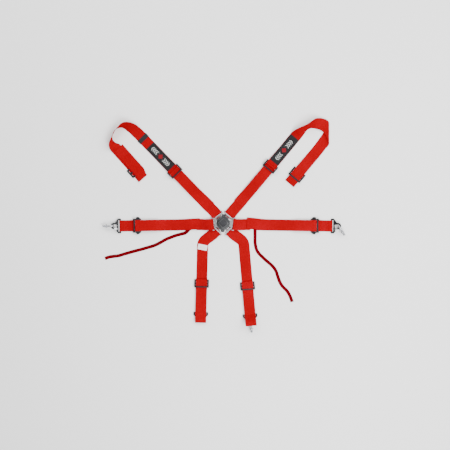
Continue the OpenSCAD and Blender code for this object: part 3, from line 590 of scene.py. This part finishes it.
def refine(node, material, body, width=0.4, segments=2):
    """A copy of a CAD node with broken edges, which stands for it."""
    me = NODES[node].data.copy()
    me.name = node + "_fine"
    bm = bmesh.new()
    bm.from_mesh(me)
    bmesh.ops.remove_doubles(bm, verts=bm.verts, dist=2e-6)
    bmesh.ops.join_triangles(bm, faces=bm.faces, angle_face_threshold=math.radians(1),
                             angle_shape_threshold=math.radians(80))
    bm.to_mesh(me)
    bm.free()
    me.materials.clear()
    me.materials.append(material)
    ob = bpy.data.objects.new(node + "_fine", me)
    bpy.context.scene.collection.objects.link(ob)
    if width:
        mod = ob.modifiers.new("edges", "BEVEL")
        mod.width, mod.segments = width * 0.001, segments
        mod.limit_method, mod.angle_limit = "ANGLE", math.radians(32)
        mod.use_clamp_overlap = True
        ob.modifiers.new("normals", "WEIGHTED_NORMAL").keep_sharp = True
    me.shade_smooth()
    me.set_sharp_from_angle(angle=SHARP)
    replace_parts(ob, node)
    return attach(ob, body)


def paint(node, material):
    """A CAD node's own mesh, with a better material."""
    me = NODES[node].data
    me.materials.clear()
    me.materials.append(material)
    me.shade_smooth()
    me.set_sharp_from_angle(angle=SHARP)


for node, material, body, width, segments in (
        ("buckle_base", HOUSING, "buckle", 0.3, 2), ("buckle_cover", HOUSING, "buckle", 0.3, 2),
        ("release_knob", KNOB, "knob", 0.8, 3), ("knob_badge", BADGE, "knob", 0.25, 2)):
    refine(node, material, body, width, segments)
for node in ("cover_screws", "latch_spider", "spindle", "cam_plate"):
    paint(node, STEEL)
paint("knob_spring", SPRING)


# ---------- the belts ----------

def ripple_on(u0, u1, size, seed):
    """A slow, uneven lift between two lengths, none at either end."""
    def f(u, v):
        edge = ease((u - u0) / 30) * ease((u1 - u) / 30)
        wave = 0.5 + 0.3 * math.sin(u / 23 + seed) + 0.2 * math.sin(u / 9.7 + 2 * seed + v / 19)
        return size * edge * wave
    return f


def slab(name, i, start, a, us, vs, zs, u_uv):
    """A thin white piece of cloth between two lengths, two sides and two heights of a belt."""
    (u0, u1), (v0, v1) = us, vs
    verts, uvs = [], []
    for z in zs:
        for u, v in ((u0, v0), (u1, v0), (u1, v1), (u0, v1)):
            verts.append(lay(i, start, a, u, v, z))
            uvs.append(((u - u0) * 0.001 + u_uv, v * 0.001))
    faces = [(0, 1, 2, 3), (4, 5, 6, 7), (0, 1, 5, 4), (1, 2, 6, 5), (2, 3, 7, 6), (3, 0, 4, 7)]
    return build(name, verts, faces, uvs, LABEL, False)


def tag(name, i, start, a, us, vs, z, body):
    """A small white tag sewn in under the edge of a belt."""
    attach(slab(name, i, start, a, us, vs, (z - 0.12, z + 0.12), 0.03), body)


def shoulder_line(i):
    """Where a shoulder belt starts, its two headings and the distance of its adjuster."""
    h0, h1 = SHOULDER_HEAD[i], SHOULDER_LAY[i]
    return PIVOT * heading(h0), h0, h1, SHOULDER_REACH[i]


def shoulder_lower(i, side):
    """From the tongue to the adjuster, round its lower bar and back."""
    body = f"shoulder_{side}"
    start, h0, h1, r = shoulder_line(i)
    path = low_loop(60) + [(50, 2.4), (62, 2.4), (70, 1.9), (85, 1.4), (110, 1.6), (150, 2),
                           (175, 1.5), (r - 82, FLOOR), (r - 40, FLOOR), (r - 13, FLOOR)]
    path += arc((r - 10, HANG), LOOP, -90, 90)
    path += [(r - 14, 7), (r - 20, 6.7), (r - 28, 5.6), (r - 36, 3.7), (r - 44, 2.5),
             (r - 75, 2.4)]
    rib = Ribbon(*lifted(path, start, h0, h1), side=i)
    lower = rib.mesh(f"strap_shoulder_lower_{side}", material=RED)
    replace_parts(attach(lower, body), f"shoulder_lower_{side}")
    u0 = rib.near(lay(i, start, h0, 15, 0, 5.9) * 1000)
    stitches(f"stitching_shoulder_{side}", rib, box_w(u0, u0 + 26), body)
    refine(f"tongue_shoulder_{side}", STEEL, body)
    refine(f"shoulder_adjuster_{side}", BLACK, body, 0.6)


def shoulder_turn(i, side):
    """The hump of webbing over the adjuster's bar."""
    start, _, h1, r = shoulder_line(i)
    mid = start + r * heading(h1)
    half = [(13, 10.7), (9.5, 10.8), (7, 11.9), (5.4, 13.6)]
    path = half + arc((0, KNURL), 4.6, 10, 170, 20) + [(-u, z) for u, z in half[::-1]]
    cs = [tuple(mid + u * heading(h1)) + (z,) for u, z in dense(path, 1.0, 0.5)]
    w = tuple(heading(h1 + 90)) + (0,)
    rib = Ribbon(cs[::-1], [w] * len(cs), side=i)
    turn = rib.mesh(f"strap_shoulder_turn_{side}", material=RED)
    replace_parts(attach(turn, f"shoulder_{side}"), f"shoulder_turn_{side}")


def upper_run(i):
    """The side view of the upper strap, from its free end over the adjuster to the floor."""
    r = SHOULDER_REACH[i]
    return [(TAIL_END[i], 4), (80, 4), (108, 4), (118, 5.2), (130, 7.7), (142, PASS), (170, PASS),
            (r - 20, PASS), (r + 18, PASS), (r + 30, 8), (r + 48, 5.5), (r + 66, 2.8),
            (r + 84, 1.2), (r + 100, FLOOR + RAISED)]


def doubled_end(i):
    """Stations of the belt's end, which turns up and comes back on top of itself."""
    low, high = FLOOR, 6.0
    rad = (high - low) / 2
    path = [(170, low), (90, low), (4, low)] + arc((3, low + rad), rad, 270, 90)
    path += [(6, high), (95, high), (108, 5.2), (120, 3.6), (132, 2.5), (END_LEN[i], 2.4)]
    cs, ws = [], []
    d, n = heading(END_HEAD[i] + 180), heading(END_HEAD[i] + 90)
    for u, z in dense(path):
        aside = -ease((u - 4) / 30) * 9 if i == 0 and z > low + 1 else 0
        x, y = np.array(END[i]) + u * d + aside * n
        cs.append((x, y, z))
        ws.append(tuple(n * (1 if i == 0 else -1)) + (0,))
    return cs, ws


def shoulder_upper(i, side):
    """The tail, the run over the adjuster, the loop and the doubled end."""
    body = f"shoulder_{side}_upper"
    start, h0, h1, r = shoulder_line(i)
    first = lifted(upper_run(i), start, h0, h1, 2.5, SHOULDER_ASIDE[i])
    if i == 0:
        middle = [routed(LOOP_LEFT, 9)]
    else:
        middle = [routed(LOOP_RIGHT, 9), fold(), routed(LOOP_RIGHT_BACK, 6)]
    end = doubled_end(i)
    x, y, _ = end[0][0]
    rib = Ribbon(*joined(first, *middle, end), side=i)
    u_loop = rib.near((FOLD_AT if i else (-x, y)) + (1.0,)) - (30 if i else 5)
    upper = rib.mesh(f"strap_shoulder_upper_{side}", material=RED,
                     ripple=ripple_on(r - TAIL_END[i] + 180, u_loop, 0.9, 1.0))
    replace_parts(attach(upper, body), f"shoulder_upper_{side}")
    flip = -1 if i == 0 else 1
    last = rib.u[-1]
    sewn = box_w(last - 44, last - 6) + [[(last - 62, -20), (last - 62, 20)]]
    stitches(f"stitching_shoulder_end_{side}", rib, sewn, body, lift=flip * WEB_T / 2)
    stitches(f"stitching_shoulder_tail_{side}", rib, HEM, body)


def shoulder_trim(i, side):
    """The patch, the slide and the tag, and on the left belt a keeper band."""
    body = f"shoulder_{side}_upper"
    start, _, h1, _ = shoulder_line(i)
    us, zs = zip(*upper_run(i))
    top = WEB_T / 2 + 0.6
    cs = [tuple(start + u * heading(h1)) + (np.interp(u, us, zs) + top,)
          for u in np.linspace(*PATCH[i], 30)]
    w = tuple(heading(h1 + 90)) + (0,)
    rib = Ribbon(cs, [w] * len(cs), side=i, half=23.5)
    patch = rib.mesh(f"patch_{side}", 0.9, PATCHED)
    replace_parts(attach(patch, body), f"shoulder_patch_{side}")
    long = rib.u[-1]
    rim = [(2, -22), (long - 2, -22), (long - 2, 22), (2, 22), (2, -22)]
    stitches(f"stitching_patch_{side}", rib, [rim], body, 0.45, 2.2, 0.9, 0.22, KEEPER)
    if i == 0:
        refine("shoulder_band_left", KEEPER, body, 0.5)
    refine(f"shoulder_slide_{side}", BLACK, f"shoulder_{side}_end", 0.6)
    tag(f"tag_shoulder_{side}", i, start, h1, (63, 84), (-28.6, -21), 0.42, f"shoulder_{side}")


def lap_strap(i, side):
    """The main strap, from round the tongue's bar out to the adjuster."""
    r, lying = LAP_REACH[i], FLOOR + 0.1
    base, moved = ("lap_left" if i == 0 else "buckle"), f"lap_{side}_adjuster"
    path = [(62, 0.9), (56, 1.4), (48, 3), (36, 6.4), (28, 8.5), (20, 9.3),
            (10, BLADE - LOOP), (2, BLADE - LOOP)]
    path += arc((-1, BLADE), LOOP, 270, 90)
    path += [(2, BLADE + LOOP), (12, 15.2), (24, 12.6), (36, 8.8), (48, 5.3), (58, 3.3),
             (66, 2.4), (76, 1.4), (90, lying), (r / 2, lying), (r - 40, lying), (r + 2, lying)]
    rib = Ribbon(*lifted(path, LAP0, LAP_HEAD, LAP_LAY), side=i)
    strap = rib.mesh(f"strap_lap_{side}", material=RED)
    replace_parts(strap, f"lap_strap_{side}")
    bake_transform(strap)
    u0 = rib.near(lay(i, LAP0, LAP_HEAD, 18, 0, 14) * 1000)
    stitches(f"stitching_lap_{side}", rib, box_w(u0, u0 + 30), base)
    refine(f"tongue_lap_{side}", STEEL, base)
    tag(f"tag_lap_{side}", i, LAP0, LAP_LAY, (74, 97), (-28.4, -21), 2.5, base)


def lap_tail(i, side):
    """The tail, from its free end to the adjuster, and the turn round the bar."""
    r, moved = LAP_REACH[i], f"lap_{side}_adjuster"
    path = [(58, 5.4), (80, 4.8), (95, 4.6), (110, 4.4), (130, 4), (150, 3.6),
            (r - 122, 3.6), (r - 112, 4.8), (r - 100, 8.4),
            (r - 90, 12), (r - 78, LAP_PASS), (r + 7, LAP_PASS)]
    w = tuple(heading(LAP_LAY + 90)) + (0,)
    rib = Ribbon(*lifted(path, LAP0, LAP_LAY, LAP_LAY, 2.5, LAP_ASIDE[i]), side=i)
    tail = rib.mesh(f"strap_lap_tail_{side}", material=RED, ripple=ripple_on(4, 200, 0.8, 2.0 + i))
    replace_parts(tail, f"lap_tail_{side}")
    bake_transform(tail)
    stitches(f"stitching_lap_tail_{side}", rib, HEM, f"lap_{side}_tail", lift=WEB_T / 2 + 0.15)
    rad = 3.5 + WEB_T / 2 + 0.5
    path = [(-24, LAP_KNURL - rad)] + arc((0, LAP_KNURL), rad, -90, 90, 24) + [(-24, LAP_KNURL + rad)]
    cs = [tuple(LAP0 + (r + u) * heading(LAP_LAY)) + (z,) for u, z in dense(path, 1.0, 0.5)]
    rib = Ribbon(cs, [w] * len(cs), side=i)
    turn = rib.mesh(f"strap_lap_turn_{side}", material=RED)
    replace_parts(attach(turn, moved), f"lap_turn_{side}")
    refine(f"lap_adjuster_{side}", BLACK, moved, 0.6)


def lap_anchor(i, side):
    """The short strap from the adjuster to the hook."""
    r, far, moved = LAP_REACH[i], LAP_HOOK[i], f"lap_{side}_adjuster"
    w = tuple(heading(LAP_LAY + 90)) + (0,)
    near = r + 14.75
    mid = (near + far) / 2
    path = [(mid + 4, FLOOR), (far - 6, FLOOR)] + arc((far, HANG), LOOP, -90, 90)
    path += [(far - 5, 7), (far - 12, 6), (far - 20, 3.6), (mid, 2.5),
             (near + 20, 3.6), (near + 12, 6), (near + 5, 7)]
    path += arc((near - 1, HANG), LOOP, 90, 270) + [(near + 6, FLOOR), (mid - 4, FLOOR)]
    cs = [tuple(LAP0 + u * heading(LAP_LAY)) + (z,) for u, z in dense(path, 1.4, 0.9)]
    rib = Ribbon(cs, [w] * len(cs), side=i)
    anchor = rib.mesh(f"strap_anchor_{side}", material=RED)
    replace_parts(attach(anchor, moved), f"lap_anchor_{side}")
    u0 = rib.near(lay(i, LAP0, LAP_LAY, mid, 0, 2.5) * 1000)
    stitches(f"stitching_anchor_{side}", rib, box_w(u0 - 11, u0 + 11), moved, lift=-WEB_T / 2)


def pull_tape(i, side):
    """A free flat cord from the tail's inner end."""
    pts = spline(TAPES[i], 6)
    t = np.gradient(pts, axis=0)
    ws = np.cross([0, 0, 1], t)
    ws /= np.linalg.norm(ws, axis=1)[:, None]
    rib = Ribbon(pts, ws, side=1, half=TAPE / 2)
    tape = rib.mesh(f"pull_tape_{side}", TAPE_T, MAROON)
    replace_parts(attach(tape, f"lap_{side}_tail"), f"lap_tape_{side}")
    u0, u1 = rib.u[-1] - 16, rib.u[-1] - 3
    stitches(f"stitching_tape_{side}", rib, [[(u0, -5), (u1, -5), (u1, 5), (u0, 5), (u0, -5)]],
             f"lap_{side}_tail", TAPE_T / 2, 2.0, 0.9, 0.22, MAROON)


def crotch_belt(i, side):
    """Down from the tongue, round a bend, to the hook and back through the slide."""
    body = f"crotch_{side}"
    s, far, f = SLIDE_AT[i], CROTCH_REACH[i], CROTCH_FALL[i]
    first = lifted(low_loop(44) + [(48, 2.3), (52, 1.5), (55, 0.9), (60, 0.8)],
                   CROTCH0, CROTCH_HEAD, CROTCH_LAY)
    bend = ([], [])
    for a in np.linspace(CROTCH_LAY, f, 14):
        x, y = BEND_MID + BEND_R * heading(a + 90)
        bend[0].append((x, y, FLOOR))
        bend[1].append(tuple(heading(a + 90)) + (0,))
    path = [(8, FLOOR), (60, FLOOR), (far - 6, FLOOR)] + arc((far, HANG), LOOP, -90, 90)
    path += [(far - 3, 7), (far - 9, 6.4), (far - 18, 4), (far - 28, 2.6), (s - 14, 2.6)]
    path += arc((s - 17.4, 5.4), 2.8, 270, 90) + [(s - 14, 8.2), (far - 26, 8.2), (far - 12, 8.8)]
    if i == 0:
        path += [(far, 10.2), (far + 14, 12), (far + 28, 12.6), (far + 44, 12.2)]
    else:
        path += [(far - 2, 11.5), (far + 8, 19), (far + 18, 28), (far + 27, 35),
                 (far + 36, 38.2), (far + 46, 37.6)]
    w = tuple(heading(f + 90)) + (0,)
    cs = [tuple(bend_end(i) + u * heading(f)) + (z,) for u, z in dense(path, sigma=0.9)]
    rib = Ribbon(*joined(first, bend, (cs, [w] * len(cs))), side=i)
    strap = rib.mesh(f"strap_crotch_{side}", material=RED)
    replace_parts(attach(strap, body), f"crotch_strap_{side}")
    u0 = rib.near(lay(i, CROTCH0, CROTCH_HEAD, 15, 0, 5.9) * 1000)
    stitches(f"stitching_crotch_{side}", rib, box_w(u0, u0 + 22), body)
    last = rib.u[-1]
    stitches(f"stitching_crotch_tail_{side}", rib,
             [[(last - u, v) for u, v in line] for line in HEM], body)
    refine(f"tongue_crotch_{side}", STEEL, body)
    refine(f"crotch_slide_{side}", BLACK, f"crotch_{side}_slide", 0.6)


def knurled_bar(kind, i, side, start, a, u, z, body):
    """An adjuster's bar, knurled between its two thinner ends."""
    verts, uvs, faces = [], [], []
    rings = [(-31.4, 2.5), (-31, 2.95), (-25.7, 2.95), (-25.7, 3.1), (-25.3, 3.5),
             (25.3, 3.5), (25.7, 3.1), (25.7, 2.95), (31, 2.95), (31.4, 2.5)]
    n = 32
    for v, r in rings:
        for k in range(n + 1):
            t = 2 * math.pi * k / n
            verts.append(lay(i, start, a, u + r * math.cos(t), v, z + r * math.sin(t)))
            uvs.append((v * 0.001, 3.5 * t * 0.001))
    for j in range(len(rings) - 1):
        for k in range(n):
            q = j * (n + 1) + k
            faces.append((q, q + 1, q + n + 2, q + n + 1))
    last = (len(rings) - 1) * (n + 1)
    faces += [tuple(range(n)), tuple(range(last + n - 1, last - 1, -1))]
    bar = build(f"bar_{kind}_{side}", verts, faces, uvs, KNURLED)
    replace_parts(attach(bar, body), f"{kind}_bar_{side}")


def crotch_label():
    """The white label at the bend of the left crotch belt, slightly askew."""
    mid = bend_end(0) + 6.5 * heading(CROTCH_FALL[0])
    label = slab("label_crotch_left", 0, mid, -79, (-12, 12), (-21, 21), (1.72, 2.1), 0)
    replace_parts(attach(label, "crotch_left"), "crotch_label_left")


for i, side in enumerate(SIDES):
    shoulder_lower(i, side)
    shoulder_turn(i, side)
    shoulder_upper(i, side)
    shoulder_trim(i, side)
    lap_strap(i, side)
    lap_tail(i, side)
    lap_anchor(i, side)
    pull_tape(i, side)
    crotch_belt(i, side)
    start, _, h1, r = shoulder_line(i)
    knurled_bar("shoulder", i, side, start, h1, r, KNURL, f"shoulder_{side}")
    knurled_bar("lap", i, side, LAP0, LAP_LAY, LAP_REACH[i], LAP_KNURL, f"lap_{side}_adjuster")
    for kind in ("lap", "crotch"):
        refine(f"hook_{kind}_{side}", BLACK, f"hook_{kind}_{side}", 0.5)
        refine(f"gate_{kind}_{side}", STEEL, f"gate_{kind}_{side}", 0.3)
crotch_label()


# ---------- eyebolts, with their threads ----------

def eyebolt(kind, i, turn):
    """An eyebolt in a hook's throat, turned away from the belt's heading by turn degrees."""
    side = SIDES[i]
    if kind == "lap":
        start, a, u = LAP0, LAP_LAY, LAP_HOOK[i]
    else:
        start, a, u = bend_end(i), CROTCH_FALL[i], CROTCH_REACH[i]
    t = math.radians(HOOK_TILT)
    throat = np.array(start) + (u + HOOK_LEN * math.cos(t)) * heading(a)
    z0 = HANG + HOOK_LEN * math.sin(t)
    d, n = heading(a + turn), heading(a + turn + 90)
    R, rod, r = 13.5, 4.0, 5.55
    off = R - 0.6

    def put(x, y, z):
        p = throat + d * x + n * y
        return Vector(((p[0] if i else -p[0]) * 0.001, p[1] * 0.001, (z0 + z) * 0.001))

    verts, faces = [], []
    N, M = 64, 20
    for j in range(N):
        b = 2 * math.pi * j / N
        for k in range(M):
            c = 2 * math.pi * k / M
            rr = R + rod * math.cos(c)
            verts.append(put(off - rr * math.cos(b), rod * math.sin(c), rr * math.sin(b)))
    for j in range(N):
        for k in range(M):
            p, q, m = j * M, (j + 1) % N * M, (k + 1) % M
            faces.append((p + k, q + k, q + m, p + m))
    ring = build(f"eye_{kind}_{side}", verts, faces, None, STEEL)
    # collar and shank, with a thread cut into it
    verts, faces = [], []
    K = 40
    prof = [(off + R + 1.5, 4.2), (off + R + 3.0, 6.4), (off + R + 4.6, 8.7), (off + R + 5.0, 9),
            (off + R + 7.1, 9), (off + R + 7.4, 8.7), (off + R + 7.4, 5.0)]
    x0, x1, pitch = off + R + 7.5, off + R + 23, 1.8
    steps = int((x1 - x0) / pitch * 8)
    for x, rr in prof:
        verts += [put(x, rr * math.cos(2 * math.pi * k / K), rr * math.sin(2 * math.pi * k / K))
                  for k in range(K)]
    for j in range(steps + 1):
        x = x0 + (x1 - x0) * j / steps
        for k in range(K):
            wave = ((x - x0) / pitch + k / K) % 1.0
            depth = 0.95 * min(1.0, abs(wave - 0.5) * 2.4)
            taper = max(0.0, x - x1 + 1.4) * 0.9 + max(0.0, x0 + 0.8 - x) * 1.0
            rr = max(4.2, r - depth * (1 if x > x0 + 1.0 else 0.9) - taper)
            verts.append(put(x, rr * math.cos(2 * math.pi * k / K), rr * math.sin(2 * math.pi * k / K)))
    rows = len(prof) + steps + 1
    for j in range(rows - 1):
        for k in range(K):
            p, q, m = j * K, (j + 1) * K, (k + 1) % K
            faces.append((p + k, p + m, q + m, q + k))
    faces += [tuple(range(K - 1, -1, -1)), tuple(range((rows - 1) * K, rows * K))]
    shank = build(f"shank_{kind}_{side}", verts, faces, None, STEEL)
    name = f"eyebolt_{kind}_{side}"
    for ob in (ring, shank):
        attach(ob, name)
    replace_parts(ring, name)
    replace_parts(shank, name)


eyebolt("lap", 0, 0)
eyebolt("lap", 1, -55)
eyebolt("crotch", 1, 0)
